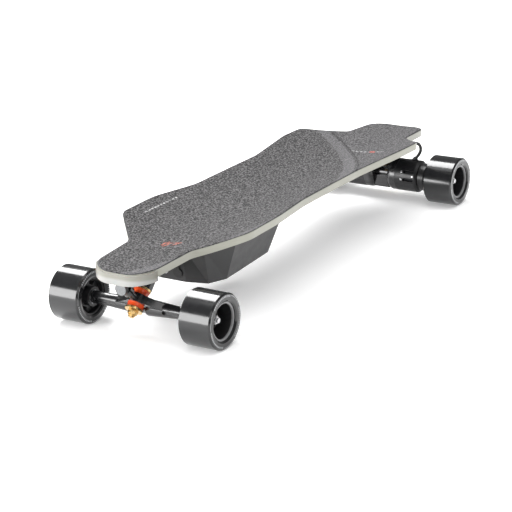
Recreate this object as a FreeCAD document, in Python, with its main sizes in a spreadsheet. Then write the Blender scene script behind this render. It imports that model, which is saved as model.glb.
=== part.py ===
import FreeCAD
import Part
import Sketcher
import math
import os

# Electric skateboard, millimetres.  +X points to the nose, +Y to the board's left, +Z up.
# The origin is on the ground, under the middle of the deck.

SIZES = {
    # deck: a saddle-curved plank, its top given by a crown height, a camber and a concave
    "deck_half_length": 469, "deck_thickness": 12, "deck_crown": 127,
    "camber_drop": 8, "concave_reach": 124, "concave_rise": 21.4,
    "end_half_width": 54, "end_radius": 42, "end_root": 352, "end_root_half_width": 59.5,
    "body_front": 280, "body_rear": 297, "body_half_width": 123.5, "tail_root": 371,
    "waist_half_width": 107, "waist_front": 88, "waist_rear": 108,
    "shoulder_front": 190, "shoulder_rear": 235,
    "grip_thickness": 1, "grip_inset": 2.5,
    "bumper_reach": 3, "bumper_drop": 6, "bumper_root": 440, "bumper_lip": 9,
    "tail_extra": 8,
    # wheels
    "axle_offset": 405.6, "wheel_radius": 45, "wheel_width": 58, "wheel_lip": 2.5,
    "front_wheel_inset": 95, "rear_wheel_inset": 100.5,
    "rim_radius": 31, "rim_wall": 3, "hub_radius": 16, "web_thickness": 10, "window_count": 6,
    "bearing_radius": 11, "bearing_bore": 4, "bearing_width": 7, "spacer_length": 20,
    # trucks, laid out from the middle of the hanger's ring along the steering axis
    "steer_angle": 45, "ring_out": 12.5, "ring_height": 58.5, "ring_radius": 17,
    "ring_thickness": 14, "ring_bore": 8.5, "bushing_radius": 13.5, "boardside_height": 14,
    "roadside_height": 11.5, "bushing_bore": 5.2, "kingpin_head": 37,
    "bushing_seat": 2.5, "washer_radius": 14.5, "washer_thickness": 2, "kingpin_radius": 4.75,
    "arm_radius": 10.5, "arm_root_radius": 13.5, "arm_root": 14, "arm_waist": 64,
    "axle_radius": 4, "pivot_radius": 4.5, "pivot_reach": 38, "pivot_neck": 27,
    "housing_radius": 9.5, "housing_start": 30, "housing_end": 41, "boss_radius": 15,
    "plate_bottom": 99, "plate_thickness": 6, "plate_front": 40, "plate_rear": 44,
    "plate_half_width": 27, "bolt_span": 54, "bolt_gauge": 41.3, "bolt_radius": 2.5,
    # motors in the rear hanger
    "cup_start": 14, "cup_end": 33, "motor_end": 78, "motor_radius": 30.5, "cup_round": 10,
    "slot_groups": 3, "slot_lift": 12, "slot_pitch": 28, "slot_width": 6.5, "slot_start": 54,
    "slot_end": 70, "drive_radius": 26, "drive_end": 93,
    # battery case
    "case_bottom": 60, "case_rim": 126, "case_wall": 3, "gasket_thickness": 1.5,
    "cell_radius": 9.2, "cell_length": 65, "cell_rows": 6,
    "board_thickness": 1.6, "button_radius": 5, "lamp_radius": 10.6,
    # motor cables
    "cable_radius": 3,
    # clearances, grooves, screws and the parts inside the case
    "bolt_clearance": 0.1, "groove_root": 62, "groove_end": 100, "groove_width": 16,
    "groove_depth": 5, "cover_end": 98, "cover_width": 15.6, "cover_low": 0.2, "cover_high": 1.7,
    "ribbon_end": 96, "ribbon_width": 14, "ribbon_low": 1.8, "ribbon_high": 4.6,
    "screw_sink": 0.6, "screw_radius": 1.75, "screw_head_radius": 3.6, "screw_head_depth": 2.4,
    "cell_start": 154, "cell_gap": 0.2, "cell_floor": 4.5, "board_level": 43.5,
    "shoulder_round": 32, "root_round": 22, "port_across": 11, "button_across": -13,
}

NO_LENGTH = 1e-9         # an offset this small is held on the axis itself
TALL = 40                # the height of a cutting block that only has to clear the deck
GROOVE_CUT_BASE = 95     # where the block that cuts the wire groove starts
DECK_CUT_BASE = 90       # where the blocks that cut the cover and the ribbon start
SCREW_FOOT = 107.5       # the height at which the case screws end

document = FreeCAD.newDocument("ElectricSkateboard")
sheet = document.addObject("Spreadsheet::Sheet", "Sizes")
for row, (alias, number) in enumerate(SIZES.items(), start=1):
    sheet.set(f"A{row}", alias)
    sheet.set(f"B{row}", str(number))
    sheet.setAlias(f"B{row}", alias)
document.recompute()

NODES = []
X_AXIS = FreeCAD.Vector(1, 0, 0)
Y_AXIS = FreeCAD.Vector(0, 1, 0)
Z_AXIS = FreeCAD.Vector(0, 0, 1)


class Size:
    """A length that carries the sheet expression it comes from, so that it can be bound."""

    def __init__(self, number, text):
        self.number = float(number)
        self.text = text

    def joined(self, other, sign, number):
        text = other.text if isinstance(other, Size) else repr(float(other))
        return Size(number, f"({self.text} {sign} {text})")

    def __add__(self, other):
        return self.joined(other, "+", self.number + float(other))

    def __sub__(self, other):
        return self.joined(other, "-", self.number - float(other))

    def __mul__(self, other):
        return self.joined(other, "*", self.number * float(other))

    def __truediv__(self, other):
        return self.joined(other, "/", self.number / float(other))

    def __neg__(self):
        return Size(-self.number, f"(-1 * {self.text})")

    def __float__(self):
        return self.number


def size(alias):
    return Size(sheet.get(alias), f"Sizes.{alias}")


def read(alias):
    return float(sheet.get(alias))


def bind(thing, **properties):
    """Sets each property, and binds it to the sheet where it comes from a size."""
    for name, amount in properties.items():
        setattr(thing, name, float(amount))
        if isinstance(amount, Size):
            thing.setExpression(name, amount.text)
    return thing


# ---------------------------------------------------------------- placing

def place(x=0.0, y=0.0, z=0.0, axis=Z_AXIS):
    """A placement at a point, with local Z turned to the given direction."""
    turn = FreeCAD.Rotation(Z_AXIS, FreeCAD.Vector(axis))
    return FreeCAD.Placement(FreeCAD.Vector(float(x), float(y), float(z)), turn)


STEER = math.radians(read("steer_angle"))
STEER_AXIS = FreeCAD.Vector(math.cos(STEER), 0, math.sin(STEER))
KINGPIN_UP = FreeCAD.Vector(-math.sin(STEER), 0, math.cos(STEER))
RING = FreeCAD.Vector(read("ring_out"), 0, read("ring_height"))
TRUCKS = {
    "front": FreeCAD.Placement(FreeCAD.Vector(read("axle_offset"), 0, 0), FreeCAD.Rotation()),
    "rear": FreeCAD.Placement(
        FreeCAD.Vector(-read("axle_offset"), 0, 0), FreeCAD.Rotation(Z_AXIS, 180)
    ),
}
SIDES = {"left": 1, "right": -1}


def truck_point(along, up, across=0.0):
    """A point of a truck, measured from the ring's middle along and square to the steer axis."""
    return RING + STEER_AXIS * float(along) + KINGPIN_UP * float(up) + Y_AXIS * float(across)


def steer_place(along, up, axis=KINGPIN_UP, across=0.0):
    point = truck_point(along, up, across)
    return place(point.x, point.y, point.z, axis)


def wheel_place(end, side):
    """Local Z runs outward along the axle, from the board's centre line."""
    centre = TRUCKS[end].Base
    return place(centre.x, 0, read("wheel_radius"), Y_AXIS * SIDES[side])


# ---------------------------------------------------------------- making solids

def keep(thing, label):
    """Marks an object as a node of its own."""
    thing.Label = label
    NODES.append(thing)
    return thing


def cylinder(radius, height, at):
    thing = bind(document.addObject("Part::Cylinder", "Cylinder"), Radius=radius, Height=height)
    thing.Placement = at
    return thing


def tapered(low_radius, high_radius, height, at):
    thing = document.addObject("Part::Cone", "Cone")
    bind(thing, Radius1=low_radius, Radius2=high_radius, Height=height)
    thing.Placement = at
    return thing


def box(length, width, height, at, centred=(True, True, False)):
    thing = bind(document.addObject("Part::Box", "Box"), Length=length, Width=width, Height=height)
    shift = [-float(extent) / 2 if middle else 0.0
             for extent, middle in zip((length, width, height), centred)]
    thing.Placement = at.multiply(FreeCAD.Placement(FreeCAD.Vector(*shift), FreeCAD.Rotation()))
    return thing


def fused(*things):
    thing = document.addObject("Part::MultiFuse", "Fused")
    thing.Shapes = list(things)
    return thing


def cut(base, *tools):
    thing = document.addObject("Part::Cut", "Cut")
    thing.Base = base
    thing.Tool = tools[0] if len(tools) == 1 else fused(*tools)
    return thing


def grouped(things):
    thing = document.addObject("Part::Compound", "Group")
    thing.Links = list(things)
    return thing


def tube(outer, inner, height, at):
    return cut(cylinder(outer, height, at), cylinder(inner, height, at))


def hexagon(across_flats, height, at):
    prism = bind(document.addObject("Part::Prism", "Prism"), Height=height)
    prism.Polygon = 6
    prism.Circumradius = float(across_flats) / math.sqrt(3)
    prism.Placement = at
    return prism


def shaped(label, shape):
    """A node whose shape is worked out by Part's own functions."""
    thing = document.addObject("Part::Feature", "Shaped")
    thing.Shape = shape
    thing.Placement = FreeCAD.Placement()
    return keep(thing, label)


def raw(shape):
    thing = document.addObject("Part::Feature", "Raw")
    thing.Shape = shape
    return thing


def new_body(name):
    body = document.addObject("PartDesign::Body", name)
    return body


def origin_item(body, role):
    return next(item for item in body.Origin.OriginFeatures if item.Role == role)


def profile_sketch(body, plane, corners, name="Profile"):
    """A closed outline of straight lines, each corner's coordinates bound to the sheet."""
    sketch = body.newObject("Sketcher::SketchObject", name)
    sketch.AttachmentSupport = [(origin_item(body, plane), "")]
    sketch.MapMode = "FlatFace"
    points = [FreeCAD.Vector(float(first), float(second), 0) for first, second in corners]
    for start, end in zip(points, points[1:] + points[:1]):
        sketch.addGeometry(Part.LineSegment(start, end), False)
    count = len(points)
    for index in range(count):
        sketch.addConstraint(Sketcher.Constraint("Coincident", index, 2, (index + 1) % count, 1))
    for index, corner in enumerate(corners):
        for kind, axis, amount in (("DistanceX", -2, corner[0]), ("DistanceY", -1, corner[1])):
            hold_coordinate(sketch, index, kind, axis, amount)
    return sketch


def hold_coordinate(sketch, index, kind, axis, amount):
    """Fixes one coordinate of a line's first point, from the origin."""
    if abs(float(amount)) < NO_LENGTH:
        sketch.addConstraint(Sketcher.Constraint("PointOnObject", index, 1, axis))
        return
    ends = (-1, 1, index, 1) if float(amount) > 0 else (index, 1, -1, 1)
    number = sketch.addConstraint(Sketcher.Constraint(kind, *ends, abs(float(amount))))
    if isinstance(amount, Size):
        text = amount.text if float(amount) > 0 else (-amount).text
        sketch.setExpression(f"Constraints[{number}]", text)


def turned_body(corners, name="Turned"):
    """A body turned about its own local X axis, from corners given as (along, radius)."""
    body = new_body(name)
    sketch = profile_sketch(body, "XY_Plane", corners)
    turning = body.newObject("PartDesign::Revolution", "Turning")
    turning.Profile = sketch
    turning.ReferenceAxis = (origin_item(body, "X_Axis"), [""])
    turning.Angle = 360
    body.Tip = turning
    return body


def axle_turned(end, side):
    """Puts a body's local X axis along an axle, pointing outward."""
    centre = TRUCKS[end].Base
    turn = FreeCAD.Rotation(Z_AXIS, 90 * SIDES[side])
    return FreeCAD.Placement(FreeCAD.Vector(centre.x, 0, read("wheel_radius")), turn)


# ---------------------------------------------------------------- deck outline and surface

def rounded_outline(corners):
    """A closed wire through corners (x, y, radius), each corner rounded by a tangent arc."""
    count = len(corners)
    spans = []
    for index, (x, y, radius) in enumerate(corners):
        corner = FreeCAD.Vector(x, y, 0)
        before = FreeCAD.Vector(*corners[index - 1][:2], 0) - corner
        after = FreeCAD.Vector(*corners[(index + 1) % count][:2], 0) - corner
        before.normalize()
        after.normalize()
        half = before.getAngle(after) / 2
        reach = radius / math.tan(half)
        bisector = before + after
        bisector.normalize()
        centre = corner + bisector * (radius / math.sin(half))
        middle = centre - bisector * radius
        spans.append((corner + before * reach, middle, corner + after * reach))
    edges = []
    for index, (start, middle, end) in enumerate(spans):
        edges.append(Part.Arc(start, middle, end).toShape())
        following = spans[(index + 1) % count][0]
        if (following - end).Length > 1e-6:
            edges.append(Part.LineSegment(end, following).toShape())
    return Part.Wire(edges)


def deck_corners():
    """The deck's half outline from nose to tail, then mirrored."""
    end_width = read("end_half_width")
    body_width = read("body_half_width")
    waist = read("waist_half_width")
    half = [
        (read("deck_half_length"), end_width, read("end_radius")),
        (read("end_root"), read("end_root_half_width"), read("root_round")),
        (read("body_front"), body_width, read("shoulder_round")),
        (read("shoulder_front"), body_width, 180),
        (read("waist_front"), waist, 180),
        (-read("waist_rear"), waist, 180),
        (-read("shoulder_rear"), body_width, 180),
        (-read("body_rear"), body_width, read("shoulder_round")),
        (-read("tail_root"), read("end_root_half_width") + 2, read("root_round")),
        (-read("deck_half_length") - read("tail_extra"), end_width, read("end_radius")),
    ]
    return half + [(x, -y, radius) for x, y, radius in reversed(half)]


def saddle_face(lift):
    """The deck's top surface moved up by lift: one patch, falling to the ends, rising to the sides."""
    reach_x = read("deck_half_length") + 40
    reach_y = read("concave_reach") + 30
    fall = read("camber_drop") * (reach_x / read("deck_half_length")) ** 2
    rise = read("concave_rise") * (reach_y / read("concave_reach")) ** 2
    crown = read("deck_crown") + lift
    along = [(-reach_x, -fall), (0, fall), (reach_x, -fall)]
    across = [(-reach_y, rise), (0, -rise), (reach_y, rise)]
    patch = Part.BezierSurface()
    patch.increase(2, 2)
    for row, (x, drop) in enumerate(along, start=1):
        for column, (y, lift_y) in enumerate(across, start=1):
            patch.setPole(row, column, FreeCAD.Vector(x, y, crown + drop + lift_y))
    return patch.toShape()


def slab(low, high):
    """The space between the deck's top surface moved up by low and by high."""
    return saddle_face(low).extrude(Z_AXIS * (high - low))


def prism(outline, offset=0.0):
    """An upright prism on an outline, taller than the deck."""
    wire = outline.makeOffset2D(offset) if offset else outline
    return Part.Face(wire).extrude(Z_AXIS * 200)


def deck_height(x, y):
    """Height of the deck's top surface."""
    fall = read("camber_drop") * (x / read("deck_half_length")) ** 2
    rise = read("concave_rise") * (y / read("concave_reach")) ** 2
    return read("deck_crown") - fall + rise


def bolt_points():
    """Where the truck bolts stand, in a truck's own frame."""
    middle = (read("plate_front") - read("plate_rear")) / 2
    half_span = read("bolt_span") / 2
    half_gauge = read("bolt_gauge") / 2
    return [(middle + span, gauge) for span in (-half_span, half_span)
            for gauge in (-half_gauge, half_gauge)]


def bolt_holes(radius):
    """Upright holes for all eight truck bolts, up to their depth in the deck."""
    holes = []
    for truck in TRUCKS.values():
        for x, y in bolt_points():
            hole = Part.makeCylinder(radius, 30, FreeCAD.Vector(x, y, 88))
            holes.append(hole.transformGeometry(truck.toMatrix()))
    return holes


OUTLINE = rounded_outline(deck_corners())
DECK_BOTTOM = -read("deck_thickness")


def make_deck():
    board = prism(OUTLINE).common(slab(DECK_BOTTOM, 0))
    for hole in bolt_holes(read("bolt_radius") + read("bolt_clearance")):
        board = board.cut(hole)
    for x, y in case_screw_points():
        top = deck_height(x, y) - read("screw_sink")
        board = board.cut(Part.makeCylinder(1.8, 30, FreeCAD.Vector(x, y, 105)))
        board = board.cut(Part.makeCone(1.8, 3.65, 2.4, FreeCAD.Vector(x, y, top - 2.4)))
        board = board.cut(Part.makeCylinder(3.65, 10, FreeCAD.Vector(x, y, top)))
    board = board.cut(cable_groove())
    shaped("deck", board)


def cable_groove():
    """The routed groove under the deck that carries the motor wires to the tail."""
    start = -read("axle_offset") + read("groove_root")
    groove = Part.makeBox(read("groove_end") - start, read("groove_width"), TALL,
                          FreeCAD.Vector(start, -read("groove_width") / 2, GROOVE_CUT_BASE))
    return groove.common(slab(DECK_BOTTOM - read("groove_depth"), DECK_BOTTOM + read("groove_depth")))


def make_cable_cover():
    """The strip that closes the groove, let into it and flush with the underside."""
    start = -read("axle_offset") + read("groove_root")
    strip = Part.makeBox(read("cover_end") - start, read("cover_width"), TALL,
                         FreeCAD.Vector(start, -read("cover_width") / 2, DECK_CUT_BASE))
    shaped("cable_cover", strip.common(slab(DECK_BOTTOM + read("cover_low"), DECK_BOTTOM + read("cover_high"))))


def make_cable_run():
    """Six flat-laid motor wires in the groove, as one ribbon."""
    start = -read("axle_offset") + read("groove_root")
    ribbon = Part.makeBox(read("ribbon_end") - start, read("ribbon_width"), TALL,
                          FreeCAD.Vector(start, -read("ribbon_width") / 2, DECK_CUT_BASE))
    shaped("motor_wire_ribbon", ribbon.common(slab(DECK_BOTTOM + read("ribbon_low"), DECK_BOTTOM + read("ribbon_high"))))


def make_grip_tape():
    sheet_shape = prism(OUTLINE, -read("grip_inset")).common(slab(0, read("grip_thickness")))
    shaped("grip_tape", sheet_shape)


def make_nose_bumper():
    """A guard wrapped round the nose's edge, with a lip under the deck."""
    root = read("bumper_root")
    zone = Part.makeBox(60, 200, 200, FreeCAD.Vector(root, -100, 0))
    guard = prism(OUTLINE, read("bumper_reach")).common(zone)
    guard = guard.common(slab(DECK_BOTTOM - read("bumper_drop"), -1.5))
    guard = guard.cut(prism(OUTLINE).common(slab(DECK_BOTTOM, 10)))
    shaped("nose_bumper", guard.cut(prism(OUTLINE, -read("bumper_lip"))))


def make_riser(end):
    """A pad between the flat baseplate and the curved underside of the deck."""
    front = read("plate_front") + 1
    rear = read("plate_rear") + 1
    width = read("plate_half_width") + 1
    bottom = read("plate_bottom") + read("plate_thickness")
    block = Part.makeBox(front + rear, 2 * width, TALL, FreeCAD.Vector(-rear, -width, bottom))
    block = block.transformGeometry(TRUCKS[end].toMatrix())
    block = block.common(slab(DECK_BOTTOM - 40, DECK_BOTTOM))
    for hole in bolt_holes(read("bolt_radius") + read("bolt_clearance")):
        block = block.cut(hole)
    shaped(f"{end}_riser", block)


# ---------------------------------------------------------------- trucks

def make_baseplate(end):
    """A plate under the deck with a boss for the kingpin and a socket for the hanger's pivot."""
    seat = stack_height(True) + size("washer_thickness")
    middle = (read("plate_front") - read("plate_rear")) / 2
    plate = box(size("plate_front") + size("plate_rear"), size("plate_half_width") * 2,
                size("plate_thickness"), place(middle, 0, read("plate_bottom")))
    boss = cylinder(size("boss_radius"), 40, steer_place(0, seat))
    socket = cylinder(size("housing_radius"), size("housing_end") - size("housing_start"),
                      steer_place(size("housing_start"), 0, STEER_AXIS))
    cheek = box(16, size("housing_radius") * 2, 12, place(32, 0, read("plate_bottom") - 11))
    web = box(52, 6, 14, place(6, 0, read("plate_bottom") - 13))
    tools = [
        cylinder(size("kingpin_radius") + 0.05, 60, steer_place(0, -10)),
        cylinder(9, 60, steer_place(0, float(seat) + 12)),
        cylinder(size("housing_radius") - 2, 19, steer_place(20, 0, STEER_AXIS)),
        *[cylinder(size("bolt_radius") + size("bolt_clearance"), 60, place(x, y, 80)) for x, y in bolt_points()],
    ]
    body = cut(fused(plate, boss, socket, cheek, web), *tools)
    trimmed = document.addObject("Part::Common", "Trimmed")
    trimmed.Base = body
    trimmed.Tool = box(400, 200, size("plate_bottom") + size("plate_thickness"), place())
    trimmed.Placement = TRUCKS[end]
    keep(trimmed, f"{end}_baseplate")


def pivot_cup(end):
    """A urethane sleeve in the baseplate's socket, around the hanger's pivot."""
    start = read("housing_start") + 0.5
    cup = tube(size("housing_radius") - 2.05, size("pivot_radius") + 0.05, 8,
               steer_place(start, 0, STEER_AXIS))
    cup.Placement = TRUCKS[end]
    return cup


def kingpin(end):
    """A bolt whose hexagon head sits in the baseplate's boss."""
    low = -stack_height(False) - read("washer_thickness") - 11.5
    head = size("kingpin_head")
    shank = cylinder(size("kingpin_radius"), head - low, steer_place(0, low))
    pin = fused(shank, hexagon(13, 5.5, steer_place(0, head)))
    pin.Placement = TRUCKS[end]
    return pin


def stack_height(above):
    """From the ring's middle to the far side of a bushing, along the kingpin."""
    height = size("boardside_height") if above else size("roadside_height")
    return size("ring_thickness") / 2 - size("bushing_seat") + height


def kingpin_nut(end):
    start = -stack_height(False) - size("washer_thickness")
    outer = fused(
        hexagon(14, 6.5, steer_place(0, start, KINGPIN_UP * -1)),
        cylinder(6.2, 8.5, steer_place(0, start, KINGPIN_UP * -1)),
    )
    bore = cylinder(size("kingpin_radius"), 20, steer_place(0, start + 1, KINGPIN_UP * -1))
    nut = cut(outer, bore)
    nut.Placement = TRUCKS[end]
    return nut


def bushing_washer(end, above):
    """A cup washer: a flat ring with a shallow rim round the bushing."""
    direction = KINGPIN_UP if above else KINGPIN_UP * -1
    start = stack_height(True) if above else -stack_height(False)
    outer = size("washer_radius")
    disc = tube(outer, size("kingpin_radius") + 0.1, size("washer_thickness"),
                steer_place(0, start, direction))
    rim_start = start - 1.5 if above else start + 1.5
    rim = tube(outer, size("bushing_radius") + 0.15, 1.5, steer_place(0, rim_start, direction))
    washer = fused(disc, rim)
    washer.Placement = TRUCKS[end]
    return washer


def make_bushing(end, above):
    """A barrel bushing between the ring's seat and a washer."""
    direction = KINGPIN_UP if above else KINGPIN_UP * -1
    height = size("boardside_height") if above else size("roadside_height")
    start = (size("ring_thickness") / 2 - size("bushing_seat")) * (1 if above else -1)
    barrel = tube(size("bushing_radius"), size("bushing_bore"), height,
                  steer_place(0, start, direction))
    barrel.Placement = TRUCKS[end]
    keep(barrel, f"{end}_bushing_{'boardside' if above else 'roadside'}")


def hanger_core(length):
    """The cross tube, the ring round the kingpin, the neck between them and the pivot pin."""
    middle = place(0, -float(length), read("wheel_radius"), Y_AXIS)
    cross = cylinder(size("arm_radius"), length * 2, middle)
    ring = cylinder(size("ring_radius"), size("ring_thickness"),
                    steer_place(0, -read("ring_thickness") / 2))
    neck = box(22, 32, 13, steer_place(-11, -6.9))
    root = tapered(6.8, size("pivot_radius") + 1, 8, steer_place(15, 0, STEER_AXIS))
    collar = size("pivot_neck") - 22.5
    shoulder = cylinder(size("pivot_radius") + 1, collar, steer_place(22.5, 0, STEER_AXIS))
    pin = cylinder(size("pivot_radius"), size("pivot_reach") - 20, steer_place(20, 0, STEER_AXIS))
    return [cross, ring, neck, root, shoulder, pin]


def ring_openings():
    half = read("ring_thickness") / 2
    depth = read("bushing_seat")
    seats = size("bushing_radius") + 0.5
    return [
        cylinder(size("ring_bore"), size("ring_thickness") + 4, steer_place(0, -half - 2)),
        cylinder(seats, 20, steer_place(0, half - depth)),
        cylinder(seats, 20, steer_place(0, -half + depth, KINGPIN_UP * -1)),
    ]


def axle_bore(length):
    return cylinder(size("axle_radius"), length * 2 + 2, place(0, -float(length) - 1,
                    read("wheel_radius"), Y_AXIS))


def section(across, along_span, up_span):
    """A rectangle square to the axle, its sides along and across the steering axis."""
    corners = [(along_span[0], up_span[0]), (along_span[1], up_span[0]),
               (along_span[1], up_span[1]), (along_span[0], up_span[1])]
    points = [truck_point(along, up, across) for along, up in corners]
    return Part.makePolygon(points + points[:1])


def arm_web(direction):
    """A web as thick as the ring, running out from its side and down into the arm."""
    near = section(9 * direction, (-24, 13), (-6.9, 6.9))
    far = section(52 * direction, (-25, -12), (-6.5, 4.5))
    return raw(Part.makeLoft([near, far], True, True))


def arm_groove(direction):
    """A long groove with a round inner end, in the outward face of an arm."""
    start = 47
    x = read("arm_radius") - 3
    z = read("wheel_radius")
    run = box(20, 60, 6.5, place(x + 10, (start + 30) * direction, z - 3.25))
    tip = cylinder(3.25, 20, place(x, start * direction, z, X_AXIS))
    return fused(run, tip)


def make_front_hanger():
    length = size("front_wheel_inset") - 1.1
    arms = []
    for direction in (1, -1):
        root = read("arm_root")
        at = place(0, (root - 6) * direction, read("wheel_radius"), Y_AXIS * direction)
        arms.append(tapered(size("arm_radius"), size("arm_root_radius"), 6, at))
        at = place(0, root * direction, read("wheel_radius"), Y_AXIS * direction)
        span = size("arm_waist") - size("arm_root")
        arms.append(tapered(size("arm_root_radius"), size("arm_radius"), span, at))
        arms.append(arm_web(direction))
    grooves = [arm_groove(direction) for direction in (1, -1)]
    collars = [cylinder(size("arm_radius"), 5, place(0, (float(length) - 5) * direction,
                        read("wheel_radius"), Y_AXIS * direction)) for direction in (1, -1)]
    blank = cut(fused(*hanger_core(length), *arms), *grooves)
    body = cut(fused(blank, *collars), *ring_openings(), axle_bore(length))
    body.Placement = TRUCKS["front"]
    keep(body, "front_hanger")


def make_rear_hanger():
    """The driven hanger: the cross tube carries a closed cup for each motor's inner end."""
    length = size("rear_wheel_inset") - 1.1
    cups = []
    for direction in (1, -1):
        start = read("cup_start")
        rounding = read("cup_round")
        radius = read("motor_radius")
        span = read("cup_end") - start - rounding
        at = place(0, (start + rounding) * direction, read("wheel_radius"), Y_AXIS * direction)
        cup = cylinder(size("motor_radius"), span, at)
        dome = cylinder(size("motor_radius"), rounding, place(0, start * direction,
                        read("wheel_radius"), Y_AXIS * direction))
        cups += [cup, rounded_edge(dome, radius, rounding, at.Base, direction)]
    bridge = box(20, 2 * read("cup_start") + 4, 22, place(-6, 0, 20))
    pieces = fused(*hanger_core(length), *cups, bridge)
    reliefs = [cylinder(19, 30, steer_place(0, -8, KINGPIN_UP * -1)),
               cylinder(21.5, 40, steer_place(0, 8))]
    body = cut(pieces, *ring_openings(), *reliefs, axle_bore(length))
    body.Placement = TRUCKS["rear"]
    keep(body, "rear_hanger")


def rounded_edge(dome, radius, rounding, centre, direction):
    """The rounded shoulder at a motor cup's inner end."""
    core = cylinder(radius - rounding, rounding, dome.Placement)
    ring = bind(document.addObject("Part::Torus", "Torus"), Radius1=radius - rounding,
                Radius2=rounding - 0.01)
    ring.Placement = FreeCAD.Placement(centre, FreeCAD.Rotation(Z_AXIS, Y_AXIS * direction))
    half = document.addObject("Part::Common", "Shoulder")
    half.Base = ring
    half.Tool = dome
    return fused(core, half)


def make_axle(end):
    reach = size(f"{end}_wheel_inset") + 46
    rod = cylinder(size("axle_radius"), reach * 2, place(0, -float(reach), read("wheel_radius"), Y_AXIS))
    rod.Placement.Base = rod.Placement.Base + TRUCKS[end].Base
    keep(rod, f"{end}_axle")


def axle_parts(end, build):
    return [build(end, side) for side in SIDES]


def axle_nut(end, side):
    at = wheel_place(end, side)
    start = read(f"{end}_wheel_inset") + 35.1
    shift = FreeCAD.Placement(Z_AXIS * start, FreeCAD.Rotation())
    body = fused(hexagon(12.7, 6, at.multiply(shift)), cylinder(5.8, 7.9, at.multiply(shift)))
    return cut(body, cylinder(size("axle_radius"), 30, at.multiply(shift)))


def speed_washers(end, side):
    at = wheel_place(end, side)
    washers = []
    for offset in (-1.05, 34.05):
        shift = FreeCAD.Placement(Z_AXIS * (read(f"{end}_wheel_inset") + offset), FreeCAD.Rotation())
        washers.append(tube(6, size("axle_radius"), 1, at.multiply(shift)))
    return grouped(washers)


# ---------------------------------------------------------------- wheels

def make_tyre(end, side):
    start = size(f"{end}_wheel_inset")
    finish = start + size("wheel_width")
    radius = size("wheel_radius")
    lip = size("wheel_lip")
    bore = size("rim_radius")
    corners = [(start + 1, bore), (start, bore + 3), (start, radius - lip), (start + lip, radius),
               (finish - lip, radius), (finish, radius - lip), (finish, bore + 2.5),
               (finish - 2, bore)]
    body = turned_body(corners, "Tyre")
    body.Placement = axle_turned(end, side)
    keep(body, f"{end}_{side}_tyre")


def make_core(end, side):
    """The wheel's core: a hub and a rim joined by a web with windows round it."""
    start = size(f"{end}_wheel_inset")
    rim_start = start + 3
    rim_finish = start + size("wheel_width") - 4
    rim = size("rim_radius")
    inner = rim - size("rim_wall")
    hub = size("hub_radius")
    hub_finish = start + size("bearing_width") * 2 + size("spacer_length")
    web_start = start + 12
    web_finish = web_start + size("web_thickness")
    bore = size("bearing_radius")
    corners = [(start, bore), (start, hub), (web_start, hub), (web_start, inner),
               (rim_start, inner), (rim_start, rim), (rim_finish, rim), (rim_finish, inner),
               (web_finish, inner), (web_finish, hub), (hub_finish, hub), (hub_finish, bore)]
    body = turned_body(corners, "Core")
    document.recompute()
    cutter = profile_sketch(body, "YZ_Plane", [
        (size("hub_radius") + 2, -5.5), (size("hub_radius") + 9.5, -8),
        (size("hub_radius") + 9.5, 8), (size("hub_radius") + 2, 5.5),
    ], "Window")
    pocket = body.newObject("PartDesign::Pocket", "WindowCut")
    pocket.Profile = cutter
    pocket.Type = 1
    pocket.Midplane = True
    body.Tip = pocket
    document.recompute()
    around = body.newObject("PartDesign::PolarPattern", "Windows")
    around.Originals = [pocket]
    around.Axis = (origin_item(body, "X_Axis"), [""])
    around.Angle = 360
    around.Occurrences = int(read("window_count"))
    body.Tip = around
    body.Placement = axle_turned(end, side)
    keep(body, f"{end}_{side}_core")


def make_bearings(end, side):
    """Two ball bearings and the spacer between them."""
    at = wheel_place(end, side)
    start = read(f"{end}_wheel_inset")
    width = read("bearing_width")
    gap = read("spacer_length")
    pieces = []
    for offset in (start, start + width + gap):
        shift = at.multiply(FreeCAD.Placement(Z_AXIS * offset, FreeCAD.Rotation()))
        pieces.append(tube(size("bearing_radius"), size("bearing_bore"), size("bearing_width"), shift))
    shift = at.multiply(FreeCAD.Placement(Z_AXIS * (start + width), FreeCAD.Rotation()))
    pieces.append(tube(6, size("bearing_bore"), size("spacer_length"), shift))
    keep(grouped(pieces), f"{end}_{side}_bearings")


# ---------------------------------------------------------------- motors

def make_motor_housing(side):
    """A can with pairs of cooling slots, standing still round the rotor, and the cable's inlet."""
    start = size("cup_end")
    finish = size("motor_end")
    outer = size("motor_radius")
    corners = [(start, outer - 3), (start, outer), (finish - 4, outer), (finish, outer - 4),
               (finish, outer - 7), (finish - 4, outer - 3)]
    body = turned_body(corners, "Housing")
    body.Placement = axle_turned("rear", side)
    slots = []
    groups = int(read("slot_groups"))
    for group in range(groups):
        for step in (-0.5, 0.5):
            angle = read("slot_lift") + read("slot_pitch") * step + 360 * group / groups
            slots.append(slot_cutter(side, angle))
    before, end = [FreeCAD.Vector(x, y * SIDES[side], z) for x, y, z in CABLE_ROUTE[-2:]]
    inward = end - before
    inward.normalize()
    mouth = end + inward * 0.05
    inlet = cylinder(size("cable_radius") + 1.6, 8, place(mouth.x, mouth.y, mouth.z, inward))
    room = cylinder(outer - 3, finish, wheel_place("rear", side))
    keep(fused(cut(body, *slots), cut(inlet, room)), f"{side}_motor_housing")


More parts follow.
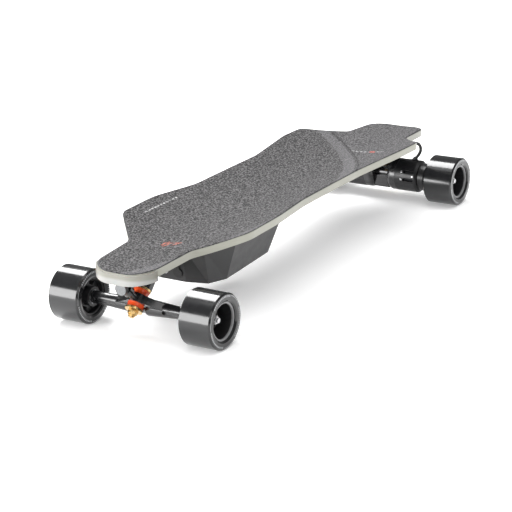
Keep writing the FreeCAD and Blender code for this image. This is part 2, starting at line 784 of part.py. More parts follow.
def slot_cutter(side, angle):
    """A slot with round ends through the can, at an angle above the forward direction."""
    centre = TRUCKS["rear"].Base
    turn = FreeCAD.Rotation(Y_AXIS, -angle)
    outward = turn.multVec(X_AXIS)
    base = FreeCAD.Vector(centre.x, 0, read("wheel_radius")) + outward * (read("motor_radius") - 8)
    ends = [read("slot_start") * SIDES[side], read("slot_end") * SIDES[side]]
    caps = [cylinder(size("slot_width") / 2, 12, place(base.x, y, base.z, outward)) for y in ends]
    middle = sum(ends) / 2
    run = box(size("slot_width"), size("slot_end") - size("slot_start"), 12,
              FreeCAD.Placement(base + Y_AXIS * middle, FreeCAD.Rotation(Y_AXIS, 90 - angle)))
    return fused(*caps, run)


def make_stator(side):
    """The wound stator, pressed on the cross tube."""
    at = wheel_place("rear", side)
    shift = at.multiply(FreeCAD.Placement(Z_AXIS * (read("cup_end") + 2), FreeCAD.Rotation()))
    return tube(20.5, size("arm_radius"), 34, shift)


def make_rotor(side):
    """The rotor bell with its magnets, open to the inside, turning with the wheel."""
    start = size("cup_end") + 1.5
    finish = size("motor_end")
    outer = size("motor_radius") - 4
    bore = size("arm_radius") + 0.8
    corners = [(start, outer - 4.5), (start, outer), (finish - 6, outer), (finish - 6, outer - 6),
               (finish + 1.5, outer - 6), (finish + 1.5, bore), (finish - 9, bore),
               (finish - 9, outer - 4.5)]
    body = turned_body(corners, "Rotor")
    body.Placement = axle_turned("rear", side)
    keep(body, f"{side}_rotor")


def make_drive_hub(side):
    """The adapter that carries the rotor's turning into the wheel's core."""
    start = size("motor_end") + 1.5
    finish = size("drive_end")
    outer = size("drive_radius")
    bore = size("arm_radius") + 0.8
    spigot = size("rear_wheel_inset") + 12
    inner = size("hub_radius") + 0.4
    corners = [(start, bore), (start, outer), (finish - 2, outer), (finish, outer - 2),
               (finish, 23), (spigot, 23), (spigot, inner), (finish, inner), (finish, bore)]
    body = turned_body(corners, "DriveHub")
    body.Placement = axle_turned("rear", side)
    keep(body, f"{side}_drive_hub")


# ---------------------------------------------------------------- battery case

def case_rings(inset, floor):
    """The case's bottom and top outlines, as matching corners of the left half."""
    bottom = [(319, 24), (309, 60), (278, 74), (137, 65), (110, 52)]
    top = [(329, 24), (330, 67), (282.5, 98), (128, 90), (100, 58)]
    middle_x = 220
    rings = []
    for height, ring in ((floor, bottom), (read("case_rim"), top)):
        half = []
        for x, y in ring:
            step = inset if x > middle_x else -inset
            half.append(FreeCAD.Vector(x - step, y - inset, height))
        rings.append(half)
    return rings


def case_solid(inset, floor):
    """A faceted block between the two outlines: flat facets, folded along straight lines."""
    bottom, top = case_rings(inset, floor)
    facets = []
    for half_sign in (1, -1):
        low = [FreeCAD.Vector(p.x, p.y * half_sign, p.z) for p in bottom]
        high = [FreeCAD.Vector(p.x, p.y * half_sign, p.z) for p in top]
        for index in range(len(low) - 1):
            if index == 1:
                facets.append([low[1], low[2], high[1]])
                facets.append([low[2], high[2], high[1]])
                continue
            facets.append([low[index], low[index + 1], high[index]])
            facets.append([low[index + 1], high[index + 1], high[index]])
    left = bottom + [FreeCAD.Vector(p.x, -p.y, p.z) for p in reversed(bottom)]
    right = top + [FreeCAD.Vector(p.x, -p.y, p.z) for p in reversed(top)]
    facets += [left, right]
    for end in (0, -1):
        low, high = bottom[end], top[end]
        facets.append([low, FreeCAD.Vector(low.x, -low.y, low.z),
                       FreeCAD.Vector(high.x, -high.y, high.z), high])
    faces = [Part.Face(Part.makePolygon(facet + facet[:1])) for facet in facets]
    solid = Part.makeSolid(Part.makeShell(faces))
    return solid if solid.Volume > 0 else solid.reversed()


def make_battery_case():
    wall = read("case_wall")
    floor = read("case_bottom")
    gasket = read("gasket_thickness")
    outer = case_solid(0, floor)
    inner = case_solid(wall, floor + wall)
    shell = outer.cut(inner).common(slab(-200, DECK_BOTTOM - gasket))
    bosses = []
    for x, y in case_screw_points():
        boss = Part.makeCylinder(6, 40, FreeCAD.Vector(x, y, 104)).common(outer)
        bosses.append(boss.common(slab(-200, DECK_BOTTOM - gasket)))
    for boss in bosses:
        shell = shell.fuse(boss)
    for x, y in case_screw_points():
        shell = shell.cut(Part.makeCylinder(1.75, 60, FreeCAD.Vector(x, y, 106)))
    for drill in case_ports():
        shell = shell.cut(drill)
    shaped("battery_case", shell.removeSplitter())
    ring = outer.cut(inner)
    for x, y in case_screw_points():
        ring = ring.fuse(Part.makeCylinder(6, 40, FreeCAD.Vector(x, y, 104)).common(outer))
    ring = ring.common(slab(DECK_BOTTOM - gasket, DECK_BOTTOM))
    for x, y in case_screw_points():
        ring = ring.cut(Part.makeCylinder(1.8, 60, FreeCAD.Vector(x, y, 90)))
    shaped("case_gasket", ring.removeSplitter())


def case_screw_points():
    """Screws that come down through the deck into bosses inside the case's walls."""
    return [(x, y * side) for side in (1, -1) for x, y in ((316, 50), (225, 84), (112, 46))]


def front_wall_direction():
    """Outward direction of the case's front face."""
    rise = read("case_rim") - read("case_bottom")
    direction = FreeCAD.Vector(rise, 0, -10)
    direction.normalize()
    return direction


def port_place(across, up, depth=0.0):
    """A point on the front face, measured across it and up from the case's bottom."""
    lean = 10 / (read("case_rim") - read("case_bottom"))
    x = 319 + lean * up
    base = FreeCAD.Vector(x, across, read("case_bottom") + up) + front_wall_direction() * depth
    return place(base.x, base.y, base.z, front_wall_direction())


def case_ports():
    """Openings in the front face for the button and the charging socket."""
    drills = []
    for across, radius in ((-13, read("button_radius") + 0.3), (11, 8.1)):
        drill = Part.makeCylinder(radius, 12)
        drill.Placement = port_place(across, 15, -8)
        drills.append(drill)
    return drills


def make_power_button():
    cap = cylinder(size("button_radius"), 7, port_place(read("button_across"), 15, -5.6))
    keep(cap, "power_button")


def make_charge_port():
    at = port_place(read("port_across"), 15, -7)
    shell = tube(8, 5.6, 7, at)
    pin = cylinder(1, 6, at)
    floor = cylinder(8, 1.5, at)
    keep(fused(shell, pin, floor), "charge_port")


def make_charge_cap():
    """A rubber flap over the socket, hinged along its upper edge."""
    lid = cylinder(8.6, 1.8, port_place(read("port_across"), 15, 0.35))
    hinge = box(4, 9, 1.8, port_place(read("port_across"), 25.5, 0.35))
    keep(fused(lid, hinge), "charge_port_cap")


def make_battery_pack():
    """Lithium cells lying along the board, two in a row, two layers high."""
    radius = read("cell_radius")
    pitch = 2 * radius + read("cell_gap")
    rows = int(read("cell_rows"))
    cells = []
    for layer in range(2):
        for row in range(rows):
            for column in range(2):
                x = read("cell_start") + column * (read("cell_length") + 1)
                y = (row - (rows - 1) / 2) * pitch
                z = read("case_bottom") + read("cell_floor") + radius + layer * pitch
                cells.append(cylinder(size("cell_radius"), size("cell_length"), place(x, y, z, X_AXIS)))
    keep(grouped(cells), "battery_pack")


def make_electronics():
    """The battery manager and the motor controller, above the cells."""
    level = read("case_bottom") + read("board_level")
    thick = size("board_thickness")
    manager = box(70, 90, thick, place(270, 0, level))
    chips = [box(12, 8, 2.4, place(252 + 18 * step, 20 - 20 * step, level + 1.6)) for step in range(3)]
    keep(fused(manager, *chips), "bms_board")
    controller = box(84, 96, thick, place(172, 0, level))
    parts = [box(6, 8, 3, place(145 + 11 * step, -30, level + 1.6)) for step in range(6)]
    parts += [box(6, 8, 3, place(145 + 11 * step, 30, level + 1.6)) for step in range(6)]
    keep(fused(controller, *parts), "esc_board")


def make_case_screws():
    screws = []
    for x, y in case_screw_points():
        top = deck_height(x, y) - read("screw_sink")
        shank = cylinder(read("screw_radius"), top - SCREW_FOOT, place(x, y, SCREW_FOOT))
        head = tapered(read("screw_radius"), read("screw_head_radius"), read("screw_head_depth"),
                       place(x, y, top - read("screw_head_depth")))
        screws.append(fused(shank, head))
    keep(grouped(screws), "case_screws")


def make_truck_bolts():
    bolts = []
    for truck in TRUCKS.values():
        for x, y in bolt_points():
            at = truck.multiply(place(x, y, read("plate_bottom") - 4))
            head = cylinder(4.5, 4, at)
            shank = cylinder(size("bolt_radius"), 22, at)
            bolts.append(fused(head, shank))
    keep(grouped(bolts), "truck_bolts")


# ---------------------------------------------------------------- lamp and cables

def make_lamp():
    """A round lamp under the nose, on a short stem."""
    at = place(454.4, 0, 90, X_AXIS)
    radius = size("lamp_radius")
    stem_height = deck_height(456, 0) - read("deck_thickness") - 92.2
    stem = box(7, 12, stem_height, place(455.5, 0, 92))
    body = cut(fused(cylinder(radius, 5.6, at), stem),
               cylinder(radius - 1, 3.2, place(457, 0, 90, X_AXIS)))
    keep(body, "headlight_body")
    keep(cylinder(radius - 1.05, 3, place(457.2, 0, 90, X_AXIS)), "headlight_lens")


CABLE_ROUTE = [
    (-415, 50, 106.4), (-415, 61, 107.6), (-415.5, 68.5, 103.5), (-415.5, 70.5, 94.5),
    (-414, 67.5, 85.5), (-412, 62, 78.5),
]


def cable_path(points):
    """Straight runs joined by tangent arcs, each as large as its two runs allow."""
    vertices = [FreeCAD.Vector(*point) for point in points]
    edges = []
    radii = []
    position = vertices[0]
    for before, corner, after in zip(vertices, vertices[1:], vertices[2:]):
        back = before - corner
        ahead = after - corner
        reach = 0.45 * min(back.Length, ahead.Length)
        half = back.getAngle(ahead) / 2
        radii.append(reach * math.tan(half))
        back.normalize()
        ahead.normalize()
        bisector = back + ahead
        bisector.normalize()
        centre = corner + bisector * (reach / math.cos(half))
        start = corner + back * reach
        end = corner + ahead * reach
        middle = centre - bisector * radii[-1]
        edges.append(Part.LineSegment(position, start).toShape())
        edges.append(Part.Arc(start, middle, end).toShape())
        position = end
    edges.append(Part.LineSegment(position, vertices[-1]).toShape())
    return Part.Wire(edges), radii


def make_cable(side):
    """The free loop of motor cable, from its gland down to the motor's housing."""
    sign = SIDES[side]
    wire, radii = cable_path([(x, y * sign, z) for x, y, z in CABLE_ROUTE])
    radius = read("cable_radius")
    start = wire.Vertexes[0].Point
    circle = Part.makeCircle(radius, start, wire.Edges[0].tangentAt(0))
    sweep = wire.makePipeShell([Part.Wire([circle])], True, False)
    expected = math.pi * radius ** 2 * wire.Length
    print(f"{side} motor cable: length {wire.Length:.1f}, radii {[round(r, 1) for r in radii]},",
          f"volume {sweep.Volume:.0f} of {expected:.0f}")
    shaped(f"{side}_motor_cable", sweep)


def make_raceway():
    """The channel under the tail from the deck's groove round the truck to both cable exits."""
    depth = 6
    rear = CABLE_ROUTE[0][0] - 6
    front = -read("axle_offset") + read("plate_rear") + 16
    cross = Part.makeBox(12, 96, 40, FreeCAD.Vector(front - 12, -48, 80))
    arms = [Part.makeBox(front - rear, 12, 40, FreeCAD.Vector(rear, y, 80)) for y in (36, -48)]
    channel = cross.fuse(arms[0]).fuse(arms[1])
    channel = channel.common(slab(DECK_BOTTOM - depth, DECK_BOTTOM))
    for sign in SIDES.values():
        x, y, z = CABLE_ROUTE[0]
        spigot = Part.makeCylinder(read("cable_radius") + 1.4, 9.6, FreeCAD.Vector(x, 40 * sign, z),
                                   Y_AXIS * sign)
        channel = channel.fuse(spigot)
    shaped("wire_raceway", channel.removeSplitter())


def build():
    make_deck()
    make_grip_tape()
    make_nose_bumper()
    make_cable_cover()
    make_cable_run()
    for end in TRUCKS:
        make_riser(end)
        make_baseplate(end)
        for above in (True, False):
            make_bushing(end, above)
        make_axle(end)
        keep(grouped(axle_parts(end, axle_nut)), f"{end}_axle_nuts")
        keep(grouped(axle_parts(end, speed_washers)), f"{end}_speed_washers")
        for side in SIDES:
            make_tyre(end, side)
            make_core(end, side)
            make_bearings(end, side)
    keep(grouped([pivot_cup(end) for end in TRUCKS]), "pivot_cups")
    keep(grouped([kingpin(end) for end in TRUCKS]), "kingpins")
    keep(grouped([kingpin_nut(end) for end in TRUCKS]), "kingpin_nuts")
    washers = [bushing_washer(end, above) for end in TRUCKS for above in (True, False)]
    keep(grouped(washers), "bushing_washers")
    make_front_hanger()
    make_rear_hanger()
    keep(grouped([make_stator(side) for side in SIDES]), "motor_stators")
    for side in SIDES:
        make_motor_housing(side)
        make_rotor(side)
        make_drive_hub(side)
        make_cable(side)
    make_raceway()
    make_battery_case()
    make_battery_pack()
    make_electronics()
    make_case_screws()
    make_truck_bolts()
    make_power_button()
    make_charge_port()
    make_charge_cap()
    make_lamp()
    document.recompute()


def write():
    broken = [thing.Label for thing in document.Objects
              if "Invalid" in thing.State or "Error" in thing.State]
    for node in NODES:
        if node.Shape.isNull() or not node.Shape.isValid() or not node.Shape.Solids:
            broken.append(node.Label)
    if broken:
        raise SystemExit(f"these objects failed: {sorted(set(broken))}")
    os.makedirs("parts", exist_ok=True)
    for node in NODES:
        node.Shape.exportStep(f"parts/{node.Label}.step")
    print(f"{len(NODES)} nodes written")


build()
write()
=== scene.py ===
"""The electric skateboard's finished look: materials for every CAD node, and new meshes for the motor
cables, bushings and housing screws.
"""
import math

import bmesh
import bpy
from mathutils import Matrix, Quaternion, Vector


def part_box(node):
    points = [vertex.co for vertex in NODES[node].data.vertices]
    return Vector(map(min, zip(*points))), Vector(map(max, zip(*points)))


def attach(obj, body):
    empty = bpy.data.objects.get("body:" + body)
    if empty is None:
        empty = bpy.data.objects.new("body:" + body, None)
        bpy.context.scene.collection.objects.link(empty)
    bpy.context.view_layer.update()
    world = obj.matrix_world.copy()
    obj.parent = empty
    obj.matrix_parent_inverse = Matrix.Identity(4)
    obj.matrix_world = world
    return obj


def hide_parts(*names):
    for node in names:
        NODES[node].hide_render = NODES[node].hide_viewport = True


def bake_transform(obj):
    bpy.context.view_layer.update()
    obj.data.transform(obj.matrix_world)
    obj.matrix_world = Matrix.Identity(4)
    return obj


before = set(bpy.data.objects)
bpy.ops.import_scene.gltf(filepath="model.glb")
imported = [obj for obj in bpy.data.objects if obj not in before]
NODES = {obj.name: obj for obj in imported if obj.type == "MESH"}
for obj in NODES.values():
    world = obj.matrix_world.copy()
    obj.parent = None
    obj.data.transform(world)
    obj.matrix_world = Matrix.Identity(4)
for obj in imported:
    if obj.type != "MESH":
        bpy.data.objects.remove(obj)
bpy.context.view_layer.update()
MM = 0.001
PER_METRE = 1 / MM       # millimetres in a metre
SIDES = {"left": 1, "right": -1}
ENDS = {"front": 1, "rear": -1}
Y_AXIS = Vector((0, 1, 0))
Z_AXIS = Vector((0, 0, 1))


# ---------------------------------------------------------------- camera

CAMERA_STAND = Vector((2.4683, 1.5225, 1.0060))
CAMERA_AIM = Vector((-0.0020, -0.0470, -0.0076))
CAMERA_ROLL = -0.0371    # radians about the lens axis
CAMERA_LENS = 123.33     # focal length and sensor width in mm
CAMERA_SENSOR = 36
CAMERA_REACH = 60        # nothing farther than this many metres is drawn


def make_camera():
    """A long lens a little above the board, ahead of its nose and to its left."""
    camera = bpy.data.cameras.new("Camera")
    camera.lens = CAMERA_LENS
    camera.sensor_width = CAMERA_SENSOR
    camera.clip_end = CAMERA_REACH
    holder = bpy.data.objects.new("Camera", camera)
    bpy.context.scene.collection.objects.link(holder)
    turn = (CAMERA_STAND - CAMERA_AIM).to_track_quat("Z", "Y") @ Quaternion(Z_AXIS, CAMERA_ROLL)
    holder.matrix_world = Matrix.Translation(CAMERA_STAND) @ turn.to_matrix().to_4x4()
    bpy.context.scene.camera = holder


make_camera()


# ---------------------------------------------------------------- mesh helpers

ON_AXIS = 1e-6           # a profile radius under this is a point on the axis
CREASE = 40              # degrees


def new_object(name, data):
    thing = bpy.data.objects.new(name, data)
    bpy.context.scene.collection.objects.link(thing)
    return thing


def smooth(mesh, limit=CREASE):
    """Smooth shading with creases kept where faces meet at more than the limit, in degrees."""
    mesh.shade_smooth()
    mesh.set_sharp_from_angle(angle=math.radians(limit))


def revolved(name, profile, base, axis, segments=64, closed=False):
    """A lathe-turned piece: profile holds (radius, height) in mm, from base along axis."""
    turn = axis.to_track_quat("Z", "X").to_matrix()
    mesh = bmesh.new()
    rings = []
    for radius, height in profile:
        if radius < ON_AXIS:
            rings.append([mesh.verts.new(base + turn @ Vector((0, 0, height * MM)))])
            continue
        ring = []
        for step in range(segments):
            angle = math.tau * step / segments
            spoke = Vector((radius * math.cos(angle), radius * math.sin(angle), height))
            ring.append(mesh.verts.new(base + turn @ (spoke * MM)))
        rings.append(ring)
    pairs = list(zip(rings, rings[1:]))
    if closed:
        pairs.append((rings[-1], rings[0]))
    for low, high in pairs:
        for step in range(segments):
            following = (step + 1) % segments
            corners = [low[step % len(low)], low[following % len(low)],
                       high[following % len(high)], high[step % len(high)]]
            mesh.faces.new(list(dict.fromkeys(corners)))
    bmesh.ops.recalc_face_normals(mesh, faces=mesh.faces)
    data = bpy.data.meshes.new(name)
    mesh.to_mesh(data)
    mesh.free()
    smooth(data)
    return new_object(name, data)


# ---------------------------------------------------------------- motor cables

CABLE_DIAMETER = 0.006
CABLE_ROUTE = [
    (-0.415, 0.050, 0.1064), (-0.415, 0.061, 0.1076), (-0.4155, 0.0685, 0.1035),
    (-0.4155, 0.0705, 0.0945), (-0.414, 0.0675, 0.0855), (-0.412, 0.062, 0.0785),
]
CABLE_FACETS = 8         # bevel steps in a quarter of the cable's round
CABLE_STEPS = 12         # rings between two route points


def spline_curve(name, points, radius):
    """A smooth curve that starts and ends on its outer points."""
    curve = bpy.data.curves.new(name, "CURVE")
    curve.dimensions = "3D"
    curve.bevel_depth = radius
    curve.bevel_resolution = CABLE_FACETS
    curve.use_fill_caps = True
    spline = curve.splines.new("NURBS")
    spline.points.add(len(points) - 1)
    for point, place in zip(spline.points, points):
        point.co = (*place, 1)
    spline.order_u = 3
    spline.use_endpoint_u = True
    spline.resolution_u = CABLE_STEPS
    return new_object(name, curve)


def curve_mesh(curve):
    """The curve's evaluated mesh."""
    depsgraph = bpy.context.evaluated_depsgraph_get()
    return bpy.data.meshes.new_from_object(curve.evaluated_get(depsgraph))


def make_motor_cable(side):
    """A jacketed cable from the raceway's spigot under the tail, out and down to its motor."""
    route = [(x, y * SIDES[side], z) for x, y, z in CABLE_ROUTE]
    guide = spline_curve("guide", route, 0)
    centreline = [tuple(vertex.co) for vertex in curve_mesh(guide).vertices]
    bpy.data.objects.remove(guide)
    tube = spline_curve("tube", route, CABLE_DIAMETER / 2)
    mesh = curve_mesh(tube)
    bpy.data.objects.remove(tube)
    mesh.name = f"{side}_cable_jacket"
    smooth(mesh)
    jacket = new_object(f"{side}_cable_jacket", mesh)
    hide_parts(f"{side}_motor_cable")
    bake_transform(jacket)
    return jacket


cables = [make_motor_cable(side) for side in SIDES]


# ---------------------------------------------------------------- materials

class Finish:
    """A procedural material: one Principled shader, with textures laid in the part's own millimetres."""

    def __init__(self, name, roughness=0.5, metallic=0.0, **sockets):
        self.material = bpy.data.materials.new(name)
        self.material.use_nodes = True
        self.tree = self.material.node_tree
        self.shader = self.tree.nodes["Principled BSDF"]
        self.shader.inputs["Roughness"].default_value = roughness
        self.shader.inputs["Metallic"].default_value = metallic
        for socket, value in sockets.items():
            self.shader.inputs[socket.replace("_", " ")].default_value = value
        self.place = self.node("ShaderNodeTexCoord").outputs["Object"]

    def node(self, kind, inputs=None, **settings):
        made = self.tree.nodes.new(kind)
        for key, value in settings.items():
            setattr(made, key, value)
        for socket, value in (inputs or {}).items():
            self.feed(made.inputs[socket], value)
        return made

    def feed(self, socket, value):
        if isinstance(value, bpy.types.NodeSocket):
            self.tree.links.new(value, socket)
        else:
            socket.default_value = value

    def math(self, operation, *values, clamp=False):
        made = self.node("ShaderNodeMath", operation=operation, use_clamp=clamp)
        for socket, value in zip(made.inputs, values):
            self.feed(socket, value)
        return made.outputs[0]

    def noise(self, size, detail=3.0, vector=None, rough=0.55):
        """Noise whose blotches are about size millimetres across."""
        made = self.node("ShaderNodeTexNoise", {"Scale": 1 / (size * MM), "Detail": detail,
                                                "Roughness": rough})
        self.feed(made.inputs["Vector"], vector or self.place)
        return made.outputs["Fac"]

    def span(self, value, low, high, out_low=0.0, out_high=1.0):
        made = self.node("ShaderNodeMapRange", {"Value": value, "From Min": low, "From Max": high,
                                                "To Min": out_low, "To Max": out_high})
        return made.outputs["Result"]

    def blend(self, share, first, second):
        made = self.node("ShaderNodeMix", data_type="RGBA")
        self.feed(made.inputs["Factor"], share)
        self.feed(made.inputs[6], first)
        self.feed(made.inputs[7], second)
        return made.outputs[2]

    def split(self, vector=None):
        made = self.node("ShaderNodeSeparateXYZ", {"Vector": vector or self.place})
        return made.outputs["X"], made.outputs["Y"], made.outputs["Z"]

    def edges(self, radius):
        """Rounded edges for shading, and how near an edge each point is, from 0 to 1."""
        bevel = self.node("ShaderNodeBevel", {"Radius": radius * MM}, samples=6)
        plain = self.node("ShaderNodeNewGeometry").outputs["Normal"]
        along = self.node("ShaderNodeVectorMath", {0: bevel.outputs[0], 1: plain},
                          operation="DOT_PRODUCT").outputs["Value"]
        return bevel.outputs[0], self.span(along, 0.995, 0.86)

    def bump(self, height, distance, strength=1.0, normal=None):
        made = self.node("ShaderNodeBump", {"Height": height, "Distance": distance * MM,
                                            "Strength": strength})
        if normal is not None:
            self.feed(made.inputs["Normal"], normal)
        return made.outputs["Normal"]

    def done(self, colour, roughness=None, normal=None):
        self.feed(self.shader.inputs["Base Color"], colour)
        if roughness is not None:
            self.feed(self.shader.inputs["Roughness"], roughness)
        if normal is not None:
            self.feed(self.shader.inputs["Normal"], normal)
        return self.material


def tint(red, green, blue):
    """An opaque colour in linear light."""
    return (red, green, blue, 1.0)


def shade(colour, share):
    """The same colour, share times as bright."""
    return (colour[0] * share, colour[1] * share, colour[2] * share, 1.0)


def worn_metal(name, colour, roughness, metallic, grain=0.6, edge=0.5, wear=2.5, coat=0.0):
    """Painted or plated metal: fine grain, cloudy gloss, and edges rubbed lighter."""
    look = Finish(name, roughness, metallic, Coat_Weight=coat, Coat_Roughness=0.25)
    rounded, near = look.edges(edge)
    cloud = look.noise(14)
    fine = look.noise(grain, 2)
    rub = look.math("MULTIPLY", near, look.span(look.noise(3), 0.42, 0.6))
    body = look.blend(cloud, shade(colour, 0.85), shade(colour, 1.18))
    painted = look.blend(rub, body, shade(colour, wear))
    gloss = look.math("ADD", look.span(cloud, 0.3, 0.7, roughness - 0.05, roughness + 0.06),
                      look.span(fine, 0.3, 0.7, -0.03, 0.03))
    return look.done(painted, gloss, look.bump(fine, 0.03, 0.35, rounded))


def brushed_metal(name, colour, roughness, axis_stretch=(1, 1, 1), edge=0.3):
    """Bare machined metal with lathe lines."""
    look = Finish(name, roughness, 1.0, Anisotropic=0.3)
    rounded, near = look.edges(edge)
    stretched = look.node("ShaderNodeMapping", {"Vector": look.place, "Scale": axis_stretch})
    lines = look.noise(0.5, 2, stretched.outputs["Vector"])
    cloud = look.noise(6)
    body = look.blend(lines, shade(colour, 0.8), shade(colour, 1.1))
    body = look.blend(look.math("MULTIPLY", near, 0.6), body, shade(colour, 1.35))
    gloss = look.math("ADD", look.span(lines, 0.3, 0.7, roughness - 0.06, roughness + 0.08),
                      look.span(cloud, 0.3, 0.7, -0.04, 0.04))
    return look.done(body, gloss, look.bump(lines, 0.02, 0.4, rounded))


def moulded(name, colour, roughness, texture=0.35, depth=0.04, edge=0.4, coat=0.0):
    """Moulded plastic: spark-eroded texture, slightly cloudy gloss, softened edges."""
    look = Finish(name, roughness, 0.0, Coat_Weight=coat, Coat_Roughness=0.3)
    rounded, near = look.edges(edge)
    pebble = look.node("ShaderNodeTexVoronoi", {"Vector": look.place, "Scale": 1 / (texture * MM)},
                       feature="SMOOTH_F1").outputs["Distance"]
    cloud = look.noise(22)
    body = look.blend(cloud, shade(colour, 0.88), shade(colour, 1.14))
    body = look.blend(look.math("MULTIPLY", near, 0.5), body, shade(colour, 1.9))
    gloss = look.math("ADD", look.span(cloud, 0.3, 0.7, roughness - 0.05, roughness + 0.05),
                      look.span(pebble, 0, 0.6, 0.03, -0.03))
    return look.done(body, gloss, look.bump(pebble, depth, 0.5, rounded))


def soft_rubber(name, colour, roughness=0.6):
    look = Finish(name, roughness, 0.0)
    rounded, near = look.edges(0.4)
    fine = look.noise(0.8, 4)
    cloud = look.noise(11)
    body = look.blend(cloud, shade(colour, 0.8), shade(colour, 1.3))
    body = look.blend(look.math("MULTIPLY", near, 0.35), body, shade(colour, 2.2))
    return look.done(body, look.span(fine, 0.3, 0.7, roughness - 0.08, roughness + 0.08),
                     look.bump(fine, 0.05, 0.5, rounded))


def cast_urethane(name, colour, roughness=0.28):
    """Coloured translucent urethane, as in truck bushings."""
    look = Finish(name, roughness, 0.0, Subsurface_Weight=0.25, Subsurface_Scale=0.004,
                  Subsurface_Radius=(1.0, 0.25, 0.1), Coat_Weight=0.3, Coat_Roughness=0.15)
    cloud = look.noise(7)
    fine = look.noise(0.7, 3)
    body = look.blend(cloud, shade(colour, 0.8), shade(colour, 1.15))
    return look.done(body, look.span(fine, 0.3, 0.7, roughness - 0.06, roughness + 0.08),
                     look.bump(fine, 0.03, 0.4))


# ---------------------------------------------------------------- tyres and cores

# Radii and lengths in mm.  Shares of a turn are counted from the tyre's rear-facing spoke.
WHEEL_RADIUS = 45.0
WHEELBASE_HALF = 405.6
PRINT_RING = (40.8, 41.7)
PRINT_MARKS = (38.4, 41.4)
PRINT_ARCS = 3           # arcs of ticks round the face, with a ring piece between them
ARC_PHASE = 0.35
ARC_TICKS = (0.2, 0.8)
ARC_CLEAR = (0.17, 0.83)
ARC_SOFT = 0.002
TICKS = 66               # ticks in a whole turn
TICK = (0.2, 0.75)
TICK_SOFT = 0.05
SCUFF_RADII = (44.4, 44.9)
RUBBER = tint(0.009, 0.0093, 0.010)
PRINT = tint(0.34, 0.35, 0.36)
# Where the painted reflection lies on the core's outer lip, in mm.
LIP_DEPTH = 3.0
LIP_RADIUS = 27.6


def between(look, value, low, high, soft=0.12):
    """1 where value lies between low and high, 0 elsewhere."""
    rise = look.span(value, low - soft, low + soft)
    fall = look.span(value, high - soft, high + soft)
    return look.math("SUBTRACT", rise, fall, clamp=True)


def tyre_finish(end):
    """Dark smooth urethane; the faces carry three arcs of plain ticks and ring pieces between them."""
    look = Finish(f"{end}_urethane", 0.12, 0.0, Coat_Weight=0.15, Coat_Roughness=0.03)
    x, _, z = look.split()
    along = look.math("SUBTRACT", x, ENDS[end] * WHEELBASE_HALF * MM)
    along = look.math("MULTIPLY", along, PER_METRE)
    height = look.math("SUBTRACT", z, WHEEL_RADIUS * MM)
    height = look.math("MULTIPLY", height, PER_METRE)
    radius = look.math("SQRT", look.math("ADD", look.math("MULTIPLY", along, along),
                                         look.math("MULTIPLY", height, height)))
    angle = look.math("ARCTAN2", height, along)
    turns = look.math("ADD", look.math("DIVIDE", angle, math.tau), 0.5)
    arc = look.math("ADD", look.math("MULTIPLY", turns, PRINT_ARCS), ARC_PHASE)
    arc = look.math("FRACT", arc)
    sector = between(look, arc, *ARC_TICKS, ARC_SOFT)
    tick = look.math("FRACT", look.math("MULTIPLY", turns, TICKS))
    tick = between(look, tick, *TICK, TICK_SOFT)
    ticks = look.math("MULTIPLY", between(look, radius, *PRINT_MARKS),
                      look.math("MULTIPLY", sector, tick))
    gap = look.math("SUBTRACT", 1.0, between(look, arc, *ARC_CLEAR, ARC_SOFT))
    stripe = look.math("MULTIPLY", between(look, radius, *PRINT_RING), gap)
    printed = look.math("MAXIMUM", stripe, ticks)
    scuff = look.math("MULTIPLY", look.noise(1.2, 4), look.span(radius, *SCUFF_RADII))
    cloud = look.noise(9)
    body = look.blend(cloud, shade(RUBBER, 0.85), shade(RUBBER, 1.2))
    body = look.blend(look.math("MULTIPLY", scuff, 0.25), body, shade(RUBBER, 2.4))
    fine = look.noise(0.7, 3)
    gloss = look.math("ADD", look.span(cloud, 0.3, 0.7, 0.08, 0.14),
                      look.math("MULTIPLY", scuff, 0.1))
    return look.done(look.blend(printed, body, PRINT), gloss, look.bump(fine, 0.003, 0.2))


def core_finish(end):
    """Black moulded core with a pale ring of painted reflection on the lip round the outer opening."""
    look = Finish(f"{end}_core", 0.35, 0.0)
    rounded, near = look.edges(0.4)
    x, y, z = look.split()
    along = look.math("SUBTRACT", x, ENDS[end] * WHEELBASE_HALF * MM)
    height = look.math("SUBTRACT", z, WHEEL_RADIUS * MM)
    radius = look.math("SQRT", look.math("ADD", look.math("MULTIPLY", along, along),
                                         look.math("MULTIPLY", height, height)))
    _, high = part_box(f"{end}_left_core")
    outer = look.math("GREATER_THAN", look.math("ABSOLUTE", y), high.y - LIP_DEPTH * MM)
    # Mask for the painted reflection: the outer lip of the opening, beyond LIP_RADIUS.
    lip_reflection = look.math("MULTIPLY", outer, look.math("GREATER_THAN", radius, LIP_RADIUS * MM))
    fine = look.noise(0.9, 3)
    cloud = look.noise(12)
    body = look.blend(cloud, tint(0.008, 0.008, 0.009), tint(0.014, 0.014, 0.015))
    body = look.blend(look.math("MULTIPLY", near, 0.5), body, tint(0.03, 0.03, 0.031))
    # Painted reflection: the lip is coloured pale grey in place of the light its glossy inner wall
    # reflects.
    body = look.blend(lip_reflection, body, tint(0.26, 0.26, 0.265))
    return look.done(body, look.span(fine, 0.3, 0.7, 0.3, 0.42), look.bump(fine, 0.03, 0.4, rounded))


# ---------------------------------------------------------------- grip tape and deck

GRIP_DARK = tint(0.004, 0.004, 0.0045)
GRIP_LIGHT = tint(0.135, 0.130, 0.133)
FLAKE = tint(0.20, 0.196, 0.206)
PRINT_WHITE = tint(0.85, 0.85, 0.85)
PRINT_RED = tint(0.75, 0.08, 0.04)
MARK_RED = tint(0.72, 0.16, 0.09)

